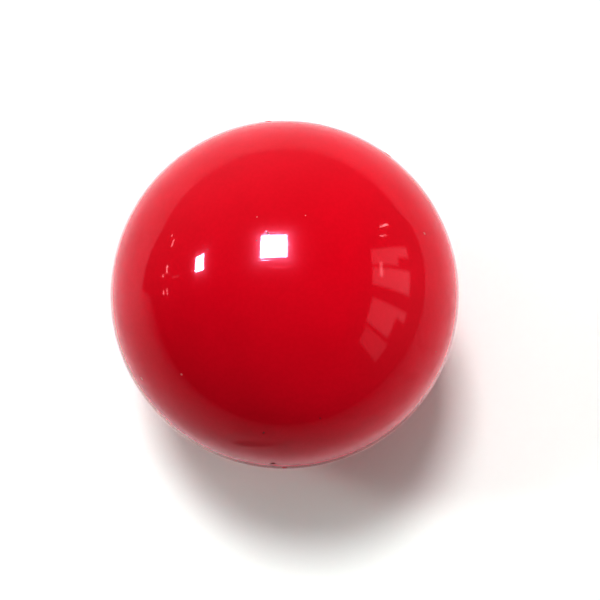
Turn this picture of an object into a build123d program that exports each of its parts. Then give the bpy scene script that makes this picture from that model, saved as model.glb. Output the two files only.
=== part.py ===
from build123d import *

import os

# A plain billiard ball of the snooker size: one casting of coloured resin, the same material from
# its centre to its surface, turned true and polished. It has no core, seam, plug, inlay or
# fastener, so the whole object is one piece.
#
# Frame: millimetres, the origin at the ball's centre, +Z up. The ball rests on a table's bed at
# the lowest point of its surface, (0, 0, -ball_radius).

# Driving dimension: the rules of snooker give the ball 52.5 mm across, within 0.05 mm.
ball_diameter = 52.5

ball_radius = ball_diameter / 2

with BuildPart() as ball:
    with BuildSketch(Plane.XZ) as half_disc:
        with BuildLine() as outline:
            turned_arc = CenterArc((0, 0), ball_radius, start_angle=-90, arc_size=180)
            Line(turned_arc @ 1, turned_arc @ 0)
        make_face()
    revolve(axis=Axis.Z)

ball.part.label = "ball"

os.makedirs("parts", exist_ok=True)
export_step(ball.part, "parts/ball.step")
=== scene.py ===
import math
import random

import bmesh
import bpy
from mathutils import Matrix, Vector, noise


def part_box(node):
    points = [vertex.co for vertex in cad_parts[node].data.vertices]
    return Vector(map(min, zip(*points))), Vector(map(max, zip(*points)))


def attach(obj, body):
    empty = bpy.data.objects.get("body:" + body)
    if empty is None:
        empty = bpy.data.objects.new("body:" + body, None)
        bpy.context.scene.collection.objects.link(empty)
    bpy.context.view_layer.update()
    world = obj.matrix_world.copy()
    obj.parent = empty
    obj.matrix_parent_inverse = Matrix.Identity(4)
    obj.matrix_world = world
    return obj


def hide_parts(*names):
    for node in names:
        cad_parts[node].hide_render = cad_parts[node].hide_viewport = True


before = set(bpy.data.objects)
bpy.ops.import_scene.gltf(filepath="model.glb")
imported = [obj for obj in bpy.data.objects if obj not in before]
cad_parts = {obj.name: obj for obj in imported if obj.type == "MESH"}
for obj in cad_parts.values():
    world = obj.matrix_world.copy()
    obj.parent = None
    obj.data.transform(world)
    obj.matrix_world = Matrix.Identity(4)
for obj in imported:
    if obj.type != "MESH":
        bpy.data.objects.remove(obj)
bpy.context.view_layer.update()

# ---------------------------------------------------------------------------------------------
# Sizes, in metres. The ball's own box gives its centre, its radius and the table under it.
# Places round it are in ball radii, R, because that is how they were set against each other.
# ---------------------------------------------------------------------------------------------
ball_low, ball_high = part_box("ball")
CENTRE = (ball_low + ball_high) / 2
R = (ball_high.z - ball_low.z) / 2
TABLE_Z = ball_low.z
MM = 0.001

# Camera: almost straight above, a little in front of the ball.
CAMERA_ELEVATION = math.radians(77)
CAMERA_DISTANCE = 6.0 * R
LENS = 61.9
SENSOR = 36.0
PAN, TILT = math.radians(0.831), math.radians(0.303)

# The room: nearly square ceiling panels, and windows along the wall at +X. With a ball of
# 52.5 mm the panels are about 0.57 m wide and 2 m above it, and the wall is 3.9 m away.
CEILING = 76 * R
PANEL_SIDE = 21.9 * R
PANEL_DEPTH = 20.4 * R
PANEL_RADIANCE = 70.0
PANEL_TINT = (1.0, 0.9, 1.2)
FAR = 150 * R
WINDOW_RADIANCE = 1.45       # as the gloss shows them, dimmed by their blinds
WINDOW_LIGHT = 2.5           # as they light what is matt
WINDOW_BLUR = 1.5            # half the width of a pane's soft edge, in R
WINDOW_GAP = 0.1 * R         # from one layer of a window to the next

# Light that the panels throw on the ceiling round them, seen only in the ball's gloss.
GLOW_NEAR = 6.0
GLOW_LEFT = 3.0
GLOW_REACH = 5.0 * R         # it falls to 37% over this distance
GLOW_MARGIN = 8 * GLOW_REACH
GLOW_TINT = (1.0, 0.85, 1.2, 1)

# The ball sees its white card this far below the floor, as if something held it clear of it.
# The grey patch, a painted shadow, and the sheet of bounced light lie just above the card.
CARD_DROP = 0.7 * R
SHADOW_PATCH_DROP = 0.98 * CARD_DROP
BOUNCE_DROP = 0.99 * CARD_DROP

# Light that comes back up off the sheet close round the ball, seen only in its gloss.
BOUNCE_RADIANCE = 0.26
BOUNCE_NEAR, BOUNCE_FULL = 1.3 * R, 2.1 * R
BOUNCE_REACH = 1.0 * R
BOUNCE_HALF = 8 * R

# A pale wall all round, with a coved foot, seen only by the camera.
WALL_COLOUR = (0.90, 0.92, 0.92, 1)
WALL_RADIUS = 38 * R
WALL_COVE = 8 * R
WALL_HEIGHT = 70 * R
WALL_TURNS, COVE_STEPS = 96, 12

FLOOR_COLOUR = (0.812, 0.825, 0.795, 1)
CARD_WHITE = (1, 1, 1, 1)
# Grey of a patch on the card that is a painted shadow.
SHADOW_PATCH_GREY = (0.42, 0.42, 0.42, 1)

# The room's own light: its level all round, and how far its bright side is turned to the left.
ROOM_LEVEL = 0.09
ROOM_TURN = math.radians(15)

GAMMA = 0.625                # lighter mid tones, as a camera's own picture has


def direction(azimuth, elevation):
    """Unit vector towards a compass azimuth, from +X towards +Y, and an elevation, in degrees."""
    a, e = math.radians(azimuth), math.radians(elevation)
    return Vector((math.cos(a) * math.cos(e), math.sin(a) * math.cos(e), math.sin(e)))


# ---------------------------------------------------------------------------------------------
# The ball's mesh
# ---------------------------------------------------------------------------------------------
GRID = 96                    # squares along each edge of the cube that is blown up to the ball
REFINE_STEPS = 4             # each one halves the squares round a mark
REFINE_LAST = 1.5            # the last step reaches this far, in lengths of the mark
REFINE_MORE = 0.8            # and each step before it reaches this much further
MARKS = 24
MARK_REACH = 3               # nothing of a mark reaches further than this, in its own lengths
RAGGED = 0.35                # how far a mark's edge strays, as a share of its radius
RAGGED_FINENESS = 1.7
NOISE_SPREAD = 40            # takes each mark to its own part of the noise
LIP = 0.05                   # height of a nick's raised lip, as a share of its depth
LIP_AT, LIP_WIDTH = 1.12, 0.16
COLOUR_REACH = 1.35                 # a mark's colour reaches this far, in its own radii


class Mark:
    """A nick in the surface, or where the depth is negative a fleck stuck on it."""

    def __init__(self, towards, radius, depth, stretch=1.0, turn=0.0, layer="wear"):
        self.towards = towards.normalized()
        self.radius = radius
        self.depth = depth
        self.stretch = stretch
        self.layer = layer
        side = self.towards.orthogonal().normalized()
        other = self.towards.cross(side)
        self.along = side * math.cos(turn) + other * math.sin(turn)
        self.across = self.towards.cross(self.along)

    def distance(self, unit):
        """How far a unit vector's point on the ball is from the middle, in lengths of the mark."""
        return (unit - self.towards).length * R / (self.radius * self.stretch)

    def share(self, unit):
        """0 at the middle of the mark, 1 at its ragged edge, for a unit vector on the ball."""
        x = unit.dot(self.along) * R / (self.radius * self.stretch)
        y = unit.dot(self.across) * R / self.radius
        start = self.towards * NOISE_SPREAD
        ragged = 1 + RAGGED * noise.noise(start + Vector((x, y, 0)) * RAGGED_FINENESS)
        return math.hypot(x, y) / ragged

    def sink(self, unit):
        """How far the surface moves along its normal: down in a nick, up a little at its lip."""
        s = self.share(unit)
        bowl = -self.depth * (1 - s * s) ** 2 if s < 1 else 0.0
        lip = LIP * self.depth * math.exp(-((s - LIP_AT) / LIP_WIDTH) ** 2)
        return bowl + lip


def ball_marks():
    """Nicks and flecks placed as in the photograph, then small nicks spread over the whole ball."""
    marks = [
        Mark(Vector((-0.084, 0.081, 0.993)), 0.15 * MM, 0.04 * MM, 2.4, math.pi / 2),
        Mark(Vector((-0.139, 0.043, 0.989)), 0.11 * MM, 0.03 * MM, 1.3, 1.0),
        Mark(Vector((-0.092, 0.880, 0.466)), 0.34 * MM, 0.22 * MM, 1.4, 0.0),
        Mark(Vector((0.571, 0.703, 0.425)), 0.46 * MM, 0.20 * MM, 1.5, 0.6),
        Mark(Vector((-0.066, -0.983, 0.170)), 0.40 * MM, 0.22 * MM, 1.3, 0.2),
        Mark(Vector((-0.003, -0.998, 0.060)), 0.42 * MM, 0.26 * MM, 1.3, 0.9),
        Mark(Vector((0.731, 0.176, 0.660)), 0.20 * MM, -0.010 * MM, 1.3, 0.4, "fleck"),
        Mark(Vector((-0.771, -0.541, 0.337)), 0.22 * MM, -0.010 * MM, 1.2, 1.1, "fleck"),
        Mark(Vector((-0.527, -0.564, 0.636)), 0.18 * MM, -0.010 * MM, 1.2, 2.0, "fleck"),
        Mark(Vector((-0.138, 0.167, 0.976)), 0.09 * MM, -0.006 * MM, 1.2, 0.0, "fleck"),
        Mark(Vector((0.101, 0.174, 0.980)), 0.09 * MM, -0.006 * MM, 1.2, 0.0, "fleck"),
    ]
    rng = random.Random(7)
    while len(marks) < MARKS:
        towards = Vector([rng.gauss(0, 1) for _ in range(3)]).normalized()
        size = rng.uniform(0.10, 0.24) * MM
        stretch = rng.uniform(1, 1.8)
        turn = rng.uniform(0, math.pi)
        marks.append(Mark(towards, size, 0.25 * size, stretch, turn))
    return marks


def cube_sphere(grid):
    """A unit ball of six square patches, with squares of nearly the same size all over."""
    steps = [math.tan(math.pi / 4 * (2 * i / grid - 1)) for i in range(grid + 1)]
    found, points, faces = {}, [], []

    def corner(cell):
        if cell not in found:
            found[cell] = len(points)
            points.append(Vector([steps[i] for i in cell]).normalized())
        return found[cell]

    for axis in range(3):
        for end in (0, grid):
            for i in range(grid):
                for j in range(grid):
                    square = [(i, j), (i + 1, j), (i + 1, j + 1), (i, j + 1)]
                    if end == 0:
                        square.reverse()
                    ring = []
                    for a, b in square:
                        cell = [0, 0, 0]
                        cell[axis] = end
                        cell[(axis + 1) % 3] = a
                        cell[(axis + 2) % 3] = b
                        ring.append(corner(tuple(cell)))
                    faces.append(ring)
    return points, faces


def refine_round(bm, marks):
    """Halves the squares near the marks, closer in at each step."""
    for step in range(REFINE_STEPS):
        margin = REFINE_LAST + REFINE_MORE * (REFINE_STEPS - 1 - step)
        dense = []
        for face in bm.faces:
            unit = face.calc_center_median().normalized()
            if any(mark.distance(unit) < margin for mark in marks):
                dense.append(face)
        edges = list({edge for face in dense for edge in face.edges})
        bmesh.ops.subdivide_edges(bm, edges=edges, cuts=1, use_grid_fill=True)
        for vertex in bm.verts:
            vertex.co.normalize()


def make_ball():
    marks = ball_marks()
    points, faces = cube_sphere(GRID)
    mesh = bpy.data.meshes.new("billiard_ball")
    mesh.from_pydata(points, [], faces)
    bm = bmesh.new()
    bm.from_mesh(mesh)
    refine_round(bm, marks)
    layers = {name: bm.verts.layers.float.new(name) for name in ("wear", "fleck")}
    for vertex in bm.verts:
        unit = vertex.co.normalized()
        moved = 0.0
        for mark in marks:
            if mark.distance(unit) < MARK_REACH:
                moved += mark.sink(unit)
                layer = layers[mark.layer]
                colour_share = min(1.0, max(0.0, COLOUR_REACH - mark.share(unit)))
                vertex[layer] = max(vertex[layer], colour_share)
        vertex.co = CENTRE + unit * (R + moved)
    bm.to_mesh(mesh)
    bm.free()
    mesh.polygons.foreach_set("use_smooth", [True] * len(mesh.polygons))
    ball = bpy.data.objects.new("billiard_ball", mesh)
    bpy.context.scene.collection.objects.link(ball)
    return ball


# ---------------------------------------------------------------------------------------------
# Node helpers
# ---------------------------------------------------------------------------------------------
class Nodes:
    """Adds nodes to a tree. An input is a number, a colour or another node's socket."""

    def __init__(self, tree):
        self.tree = tree

    def feed(self, socket, value):
        if isinstance(value, bpy.types.NodeSocket):
            self.tree.links.new(value, socket)
        else:
            socket.default_value = value

    def add(self, kind, inputs=None, **settings):
        made = self.tree.nodes.new(kind)
        for key, value in settings.items():
            setattr(made, key, value)
        for key, value in (inputs or {}).items():
            self.feed(made.inputs[key], value)
        return made

    def place(self, kind="Object"):
        return self.add("ShaderNodeTexCoord").outputs[kind]

    def axes(self, vector):
        return self.add("ShaderNodeSeparateXYZ", {0: vector}).outputs

    def maths(self, operation, a, b=0.0):
        return self.add("ShaderNodeMath", {0: a, 1: b}, operation=operation).outputs["Value"]

    def fade(self, value, low, high, to_low=0.0, to_high=1.0, kind="SMOOTHSTEP"):
        """A value taken from low..high to to_low..to_high, and held at the ends."""
        inputs = {"Value": value, "From Min": low, "From Max": high, "To Min": to_low, "To Max": to_high}
        return self.add("ShaderNodeMapRange", inputs, interpolation_type=kind).outputs["Result"]

    def blend(self, share, a, b):
        """Colour a where share is 0, b where it's 1: the colour sockets of a Mix node are 6, 7 and 2."""
        return self.add("ShaderNodeMix", {0: share, 6: a, 7: b}, data_type="RGBA").outputs[2]

    def cloud(self, vector, scale, detail=3.0, rough=0.5):
        inputs = {"Vector": vector, "Scale": scale, "Detail": detail, "Roughness": rough}
        return self.add("ShaderNodeTexNoise", inputs).outputs["Fac"]

    def attribute(self, name):
        return self.add("ShaderNodeAttribute", attribute_name=name).outputs["Fac"]


def new_material(name):
    """A material, its Principled shader and a helper that adds nodes to it."""
    material = bpy.data.materials.new(name)
    material.use_nodes = True
    tree = material.node_tree
    return material, tree.nodes["Principled BSDF"], Nodes(tree)


def new_light_material(name, tint):
    """A material that gives off light and hides nothing behind it, its emission and a helper."""
    material = bpy.data.materials.new(name)
    material.use_nodes = True
    material.node_tree.nodes.clear()
    nodes = Nodes(material.node_tree)
    emission = nodes.add("ShaderNodeEmission", {"Color": tint})
    clear = nodes.add("ShaderNodeBsdfTransparent")
    both = nodes.add("ShaderNodeAddShader", {0: emission.outputs[0], 1: clear.outputs[0]})
    nodes.add("ShaderNodeOutputMaterial", {"Surface": both.outputs[0]})
    return material, emission, nodes


# ---------------------------------------------------------------------------------------------
# Materials
# ---------------------------------------------------------------------------------------------
RED_DARKER, RED_LIGHTER = (0.725, 0.0, 0.032, 1), (0.785, 0.0, 0.038, 1)
RED_GRAIN = (0.62, 0.0, 0.014, 1)
RED_IN_NICK = (0.28, 0.0, 0.008, 1)
FLECK_COLOUR = (0.80, 0.55, 0.52, 1)
DUST_COLOUR = (0.75, 0.42, 0.38, 1)
HAIRLINE_TURNS = ((0.3, 0.9, 0.2), (1.4, 0.1, 2.1), (2.3, 1.1, 0.7))
RESIN_IOR = 1.5
HAZE_WEIGHT, HAZE_ROUGHNESS = 0.1, 0.17     # a weak, rough coat: a faint haze round the highlights
TOOTH_DEPTH = 0.04 * MM
RELIEF_DEPTH = 0.004 * MM


def hairlines(nodes, place):
    """Noise drawn out along three slanting directions and cut to thin bands."""
    scratches = None
    for turn in HAIRLINE_TURNS:
        drawn_out = {"Vector": place, "Rotation": turn, "Scale": (1, 26, 26)}
        spun = nodes.add("ShaderNodeMapping", drawn_out).outputs[0]
        line = nodes.fade(nodes.cloud(spun, 150, 1, 0.4), 0.70, 0.74)
        scratches = line if scratches is None else nodes.maths("MAXIMUM", scratches, line)
    return scratches


def sparse_dust(nodes, place):
    """Dust and lint: sparse points, a tenth of a millimetre across."""
    cells = nodes.add("ShaderNodeTexVoronoi", {"Vector": place, "Scale": 330})
    chosen = nodes.fade(cells.outputs["Color"], 0.90, 0.93)
    return nodes.maths("MULTIPLY", nodes.fade(cells.outputs["Distance"], 0.045, 0.03), chosen)


def resin_material():
    """Red cast resin, polished: pigment clouds, hairlines, faint haze, dust, and a darker red in nicks.
    """
    material, shader, nodes = new_material("red_resin")
    place = nodes.place()

    def times(a, b):
        return nodes.maths("MULTIPLY", a, b)

    def total(*parts):
        level = parts[0]
        for part in parts[1:]:
            level = nodes.maths("ADD", level, part)
        return level

    # A darker red in the nicks and just round their edges.
    in_nick = nodes.fade(nodes.attribute("wear"), 0.1, 0.9)
    stuck = nodes.fade(nodes.attribute("fleck"), 0.1, 0.7)
    scratches = hairlines(nodes, place)
    dust = sparse_dust(nodes, place)

    # Noise scales are per metre: 70 gives clouds some 14 mm across, 1800 a grain of half a mm.
    clouds = nodes.fade(nodes.cloud(place, 70, 4), 0.3, 0.7)
    grain = nodes.fade(nodes.cloud(place, 1800, 2), 0.35, 0.65)
    red = nodes.blend(clouds, RED_DARKER, RED_LIGHTER)
    red = nodes.blend(times(grain, 0.12), red, RED_GRAIN)
    red = nodes.blend(in_nick, red, RED_IN_NICK)
    red = nodes.blend(times(stuck, 0.5), red, FLECK_COLOUR)
    red = nodes.blend(times(dust, 0.45), red, DUST_COLOUR)
    nodes.feed(shader.inputs["Base Color"], red)

    polish = nodes.fade(nodes.cloud(place, 120, 5, 0.6), 0.4, 0.75, 0.030, 0.055)
    worn = (times(scratches, 0.10), times(in_nick, 0.45), times(stuck, 0.35), times(dust, 0.40))
    nodes.feed(shader.inputs["Roughness"], total(polish, *worn))

    ripple = nodes.cloud(place, 260, 2)
    relief = total(times(scratches, -0.6), times(dust, 3.0), times(ripple, 0.3))
    bump = nodes.add("ShaderNodeBump", {"Height": relief, "Strength": 0.25, "Distance": RELIEF_DEPTH})
    nodes.feed(shader.inputs["Normal"], bump.outputs["Normal"])

    shader.inputs["IOR"].default_value = RESIN_IOR
    shader.inputs["Coat Weight"].default_value = HAZE_WEIGHT
    shader.inputs["Coat Roughness"].default_value = HAZE_ROUGHNESS
    shader.inputs["Coat IOR"].default_value = RESIN_IOR
    return material


def paper_material(name, white, fades=()):
    """White paper with a soft tooth; each fade is an axis, two places along it and two shares."""
    material, shader, nodes = new_material(name)
    place = nodes.place()
    tooth = nodes.cloud(place, 900, 4.0)
    bump = nodes.add("ShaderNodeBump", {"Height": tooth, "Strength": 0.15, "Distance": TOOTH_DEPTH})
    nodes.feed(shader.inputs["Normal"], bump.outputs["Normal"])
    level = None
    for axis, *ends in fades:
        share = nodes.fade(nodes.axes(place)[axis], *ends, kind="LINEAR")
        level = share if level is None else nodes.maths("MULTIPLY", level, share)
    nodes.feed(shader.inputs["Base Color"], white if level is None else level)
    shader.inputs["Roughness"].default_value = 0.6
    shader.inputs["Specular IOR Level"].default_value = 0.2
    return material


def glow_material(name, strength):
    """Light that a panel throws on the ceiling round it, falling off outwards from its edge."""
    material, emission, nodes = new_light_material(name, GLOW_TINT)
    axes = nodes.axes(nodes.place())
    squares = []
    for axis, half in (("X", PANEL_SIDE / 2), ("Y", PANEL_DEPTH / 2)):
        past_edge = nodes.maths("SUBTRACT", nodes.maths("ABSOLUTE", axes[axis]), half)
        squares.append(nodes.maths("POWER", nodes.maths("MAXIMUM", past_edge, 0.0), 2.0))
    away = nodes.maths("SQRT", nodes.maths("ADD", *squares))
    fall = nodes.maths("EXPONENT", nodes.maths("DIVIDE", away, -GLOW_REACH))
    nodes.feed(emission.inputs["Strength"], nodes.maths("MULTIPLY", fall, strength))
    return material


def bounce_material():
    """Nothing under the ball, brightest in a ring round it, fading away outwards."""
    material, emission, nodes = new_light_material("bounce", (1, 1, 1, 1))
    away = nodes.add("ShaderNodeVectorMath", {0: nodes.place()}, operation="LENGTH").outputs["Value"]
    rise = nodes.fade(away, BOUNCE_NEAR, BOUNCE_FULL)
    past_ring = nodes.maths("SUBTRACT", away, BOUNCE_FULL)
    fall = nodes.maths("EXPONENT", nodes.maths("DIVIDE", past_ring, -BOUNCE_REACH))
    level = nodes.maths("MULTIPLY", nodes.maths("MULTIPLY", rise, fall), BOUNCE_RADIANCE)
    nodes.feed(emission.inputs["Strength"], level)
    return material


def backdrop_material():
    material = bpy.data.materials.new("pale_backdrop")
    material.use_nodes = True
    material.node_tree.nodes.clear()
    nodes = Nodes(material.node_tree)
    emission = nodes.add("ShaderNodeEmission", {"Color": WALL_COLOUR})
    nodes.add("ShaderNodeOutputMaterial", {"Surface": emission.outputs[0]})
    return material


# ---------------------------------------------------------------------------------------------
# Stage
# ---------------------------------------------------------------------------------------------
def stage_object(name, points, faces, material, place=(0, 0, 0)):
    """A mesh that is part of the stage and not of the ball."""
    mesh = bpy.data.meshes.new(name)
    mesh.from_pydata(points, [], faces)
    mesh.materials.append(material)
    made = bpy.data.objects.new(name, mesh)
    made.location = place
    bpy.context.scene.collection.objects.link(made)
    return made


def level_sheet(name, outline, z, material):
    """A level sheet whose outline is given in R from the ball."""
    corners = [(CENTRE.x + x * R, CENTRE.y + y * R, z) for x, y in outline]
    return stage_object(name, corners, [range(len(corners))], material)


def gloss_only_square(name, half, place, material):
    """A level square of light seen only in the ball's gloss."""
    corners = [(-half, -half, 0), (half, -half, 0), (half, half, 0), (-half, half, 0)]
    square = stage_object(name, corners, [(3, 2, 1, 0)], material, place)
    square.visible_camera = False
    square.visible_diffuse = False
    square.visible_shadow = False


def make_floor():
    """A pale floor under the ball. The ball doesn't see it: it sees the card below instead."""
    outline = ((-60, -60), (60, -60), (60, 60), (-60, 60))
    paper = paper_material("pale_floor", FLOOR_COLOUR)
    floor = level_sheet("floor", outline, TABLE_Z, paper)
    floor.visible_glossy = False
    floor.visible_diffuse = False
    floor.visible_shadow = False
    return floor


def make_card():
    """A white card in two parts, with painted shade that darkens it to the front, darker also to the
    sides, and a grey patch on it that is a painted shadow.
    """
    # Painted shade: the card darkens towards the front, in place of a shadow cast on it from in front.
    painted_shade_to_front = ("Y", CENTRE.y + 0.3 * R, CENTRE.y - 12 * R, 1.0, 0.12)
    towards_right = ("X", CENTRE.x - 3 * R, CENTRE.x + 7 * R, 1.0, 0.85)
    towards_left = ("X", CENTRE.x - 10 * R, CENTRE.x - 40 * R, 0.8, 0.4)
    main = (
        (-12, -10.6),
        (10.5, -10.6),
        (14.4, -2),
        (15.3, 9),
        (60, 48),
        (60, 80),
        (-80, 80),
        (-80, 45),
        (-12, 0.8),
    )
    left = ((-40, -10.6), (-12, -10.6), (-12, 0.8), (-40, -0.5))
    for name, outline, fade in (
        ("white_card", main, towards_right),
        ("white_card_left", left, towards_left),
    ):
        paper = paper_material(name, CARD_WHITE, (painted_shade_to_front, fade))
        card = level_sheet(name, outline, TABLE_Z - CARD_DROP, paper)
        card.visible_camera = False
    # A grey patch, seen only in the gloss: a painted shadow on the card.
    shadow_patch_outline = (
        (-1.12, -2.86),
        (-1.2, -3.5),
        (-0.85, -4.05),
        (-0.08, -4.4),
        (-0.08, -4.05),
        (-0.62, -3.3),
    )
    grey = paper_material("painted_shadow_patch", SHADOW_PATCH_GREY)
    patch = level_sheet("painted_shadow_patch", shadow_patch_outline, TABLE_Z - SHADOW_PATCH_DROP, grey)
    patch.visible_camera = False
    patch.visible_shadow = False


def make_backdrop():
    """A round wall with a coved foot that stands on the floor."""
    profile = []
    for i in range(COVE_STEPS + 1):
        angle = math.pi / 2 * i / COVE_STEPS
        reach = WALL_RADIUS - WALL_COVE * (1 - math.sin(angle))
        profile.append((reach, WALL_COVE * (1 - math.cos(angle))))
    profile.append((WALL_RADIUS, WALL_HEIGHT))
    rows = len(profile)
    points, faces = [], []
    for i in range(WALL_TURNS):
        angle = 2 * math.pi * i / WALL_TURNS
        for reach, height in profile:
            x = CENTRE.x + reach * math.cos(angle)
            y = CENTRE.y + reach * math.sin(angle)
            points.append((x, y, TABLE_Z + height))
        here, there = i * rows, (i + 1) % WALL_TURNS * rows
        for k in range(rows - 1):
            faces.append((here + k, here + k + 1, there + k + 1, there + k))
    wall = stage_object("backdrop", points, faces, backdrop_material())
    wall.data.polygons.foreach_set("use_smooth", [True] * len(wall.data.polygons))
    wall.visible_diffuse = False
    wall.visible_glossy = False
    wall.visible_shadow = False


# ---------------------------------------------------------------------------------------------
# Light and camera
# ---------------------------------------------------------------------------------------------
def area_light(name, place, towards, width, height, radiance):
    """A soft rectangular light of a given radiance, facing towards a point."""
    data = bpy.data.lights.new(name, "AREA")
    data.shape = "RECTANGLE"
    data.size, data.size_y = width, height
    data.energy = radiance * math.pi * width * height
    light = bpy.data.objects.new(name, data)
    light.location = place
    light.rotation_euler = (place - towards).to_track_quat("Z", "Y").to_euler()
    bpy.context.scene.collection.objects.link(light)
    return light


def ceiling_panel(name, x, y, radiance, part):
    """A light in the ceiling that is seen in the gloss, or that lights what is matt."""
    place = CENTRE + Vector((x * R, y * R, CEILING))
    below = place - Vector((0, 0, 1))
    panel = area_light(name, place, below, PANEL_SIDE, PANEL_DEPTH, radiance)
    panel.visible_diffuse = part == "matt"
    panel.visible_glossy = part == "gloss"
    if part == "gloss":
        panel.data.color = PANEL_TINT
    return panel


def make_ceiling():
    """Two bright panels with their glow, and the light that they give to what is matt."""
    glow_half = PANEL_SIDE / 2 + GLOW_MARGIN
    for name, x, y, glow in (("near", -9.4, 23.55, GLOW_NEAR), ("left", -106, 22.15, GLOW_LEFT)):
        ceiling_panel(f"panel_{name}", x, y, PANEL_RADIANCE, "gloss")
        above = CENTRE + Vector((x * R, y * R, CEILING + R))
        material = glow_material(f"glow_{name}", glow)
        gloss_only_square(f"glow_{name}", glow_half, above, material)
    ceiling_panel("key", -11, 30, 27.6, "matt")
    ceiling_panel("side", -98, 14, 16.5, "matt")


def make_bounce():
    """A sheet of bounced light under the ball."""
    place = Vector((CENTRE.x, CENTRE.y, TABLE_Z - BOUNCE_DROP))
    gloss_only_square("bounce", BOUNCE_HALF, place, bounce_material())


def light_floor(floor):
    """Two lights that reach only the floor, which make the two tones of the shadow."""
    only_floor = bpy.data.collections.new("only_floor")
    only_floor.objects.link(floor)
    for name, x, y, radiance, tint in (
        ("floor_key", -10.5, 34.5, 17.2, (0.86, 0.95, 1)),
        ("floor_side", -79, 16, 24.0, (0.71, 1, 1)),
    ):
        light = ceiling_panel(name, x, y, radiance, "matt")
        light.data.color = tint
        light.light_linking.receiver_collection = only_floor


def make_windows():
    """Panes on the wall at +X, and one brighter strip across two of them.

    The gloss shows each as two layers of different sizes, which gives it a soft edge, and a third
    layer lights what is matt. Each layer is a little further away than the last, so that no two
    share a plane.
    """
    panes = (                # from and to along Y, and low and high, in R; share of the light
        (57, 42, 14, 103, 1.0),
        (42, 30, 39, 104, 1.0),
        (25, -5, 14, 103, 1.1),
        (33, 11, 77, 84, 2.6),
        (-27, -40, 11, 98, 0.9),
        (-40, -74, 32, 100, 0.9),
        (-82, -122, 24, 96, 0.55),
    )
    layers = (
        ("in", -WINDOW_BLUR, WINDOW_RADIANCE / 2),
        ("out", WINDOW_BLUR, WINDOW_RADIANCE / 2),
        ("matt", 0.0, WINDOW_LIGHT),
    )
    away = FAR
    for i, (y_from, y_to, low, high, share) in enumerate(panes):
        for layer, margin, radiance in layers:
            away += WINDOW_GAP
            place = CENTRE + Vector((away, (y_from + y_to) / 2 * R, (low + high) / 2 * R))
            inward = place - Vector((1, 0, 0))
            width = (y_from - y_to + 2 * margin) * R
            height = (high - low + 2 * margin) * R
            pane = area_light(f"window_{i}_{layer}", place, inward, width, height, radiance * share)
            pane.visible_diffuse = layer == "matt"
            pane.visible_glossy = layer != "matt"


def make_fills():
    """Large soft lights that aren't seen in the gloss; all sizes and places in R."""
    for name, place, aim, width, height, radiance in (
        ("fill_front", (0, -150, 70), (0, 0, 70), 250, 130, 0.25),
        ("fill_left", (-150, 0, 70), (0, 0, 70), 250, 130, 0.26),
        ("fill_right", (150, -34, 53), (0, 0, 53), 181, 90, 0.95),
        ("fill_top", (0, 20, 150), (0, 0, 0), 200, 200, 0.5),
    ):
        start, end = CENTRE + Vector(place) * R, CENTRE + Vector(aim) * R
        fill = area_light(name, start, end, width * R, height * R, radiance)
        fill.visible_glossy = False


def make_far_lights():
    """Small lamps across the room, which show as dots and dashes in the gloss."""
    lamps = (                # azimuth, elevation, width and height in degrees; radiance
        (153.7, 8.6, 1.0, 0.8, 8),
        (157.2, 11.6, 3.6, 1.3, 6),
        (170.2, 11.3, 3.8, 1.3, 8),
        (172.9, 8.3, 1.6, 1.2, 8),
        (174.8, 18.5, 1.2, 6.0, 1),
        (181.1, 11.1, 3.2, 1.2, 6),
        (180.9, 8.0, 1.6, 1.2, 7),
        (32.6, 15.9, 1.1, 7.0, 8),
        (27.6, 20.1, 1.1, 5.5, 5),
    )
    degree = FAR * math.radians(1)
    for i, (azimuth, elevation, width, height, radiance) in enumerate(lamps):
        place = CENTRE + direction(azimuth, elevation) * FAR
        area_light(f"far_light_{i}", place, CENTRE, width * degree, height * degree, radiance)


def make_world():
    """The room's walls and ceiling: brighter beyond the ball than behind the camera."""
    world = bpy.data.worlds.new("room")
    world.use_nodes = True
    nodes = Nodes(world.node_tree)
    axes = nodes.axes(nodes.place("Generated"))
    forwards = nodes.maths("MULTIPLY", axes["Y"], math.cos(ROOM_TURN))
    sideways = nodes.maths("MULTIPLY", axes["X"], math.sin(ROOM_TURN))
    ahead = nodes.maths("MAXIMUM", nodes.maths("SUBTRACT", forwards, sideways), 0.0)
    right = nodes.maths("MAXIMUM", axes["X"], 0.0)
    above = nodes.maths("MAXIMUM", axes["Z"], 0.0)
    level = ROOM_LEVEL
    for share, power, strength in (
        (ahead, 1.0, 0.38),
        (ahead, 3.0, 0.34),
        (right, 4.0, 0.34),
        (above, 4.0, 0.08),
    ):
        part = nodes.maths("MULTIPLY", nodes.maths("POWER", share, power), strength)
        level = nodes.maths("ADD", part, level)
    nodes.feed(world.node_tree.nodes["Background"].inputs["Color"], level)
    bpy.context.scene.world = world


def make_camera():
    data = bpy.data.cameras.new("camera")
    data.lens = LENS
    data.sensor_width = SENSOR
    data.clip_start = 0.1 * R
    data.clip_end = 1000 * R
    camera = bpy.data.objects.new("camera", data)
    back = Vector((0, -math.cos(CAMERA_ELEVATION), math.sin(CAMERA_ELEVATION)))
    camera.location = CENTRE + back * CAMERA_DISTANCE
    facing = (-back).to_track_quat("-Z", "Y").to_matrix().to_4x4()
    turned = Matrix.Rotation(-PAN, 4, "Y") @ Matrix.Rotation(-TILT, 4, "X")
    camera.rotation_euler = (facing @ turned).to_euler()
    bpy.context.scene.collection.objects.link(camera)
    bpy.context.scene.camera = camera


def set_tones():
    """Plain sRGB, without a film look."""
    view = bpy.context.scene.view_settings
    view.view_transform = "Standard"
    view.look = "None"
    view.gamma = GAMMA


ball = make_ball()
ball.data.materials.append(resin_material())
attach(ball, "root")
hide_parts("ball")

floor = make_floor()
make_card()
make_backdrop()
make_ceiling()
make_bounce()
light_floor(floor)
make_windows()
make_fills()
make_far_lights()
make_world()
make_camera()
set_tones()
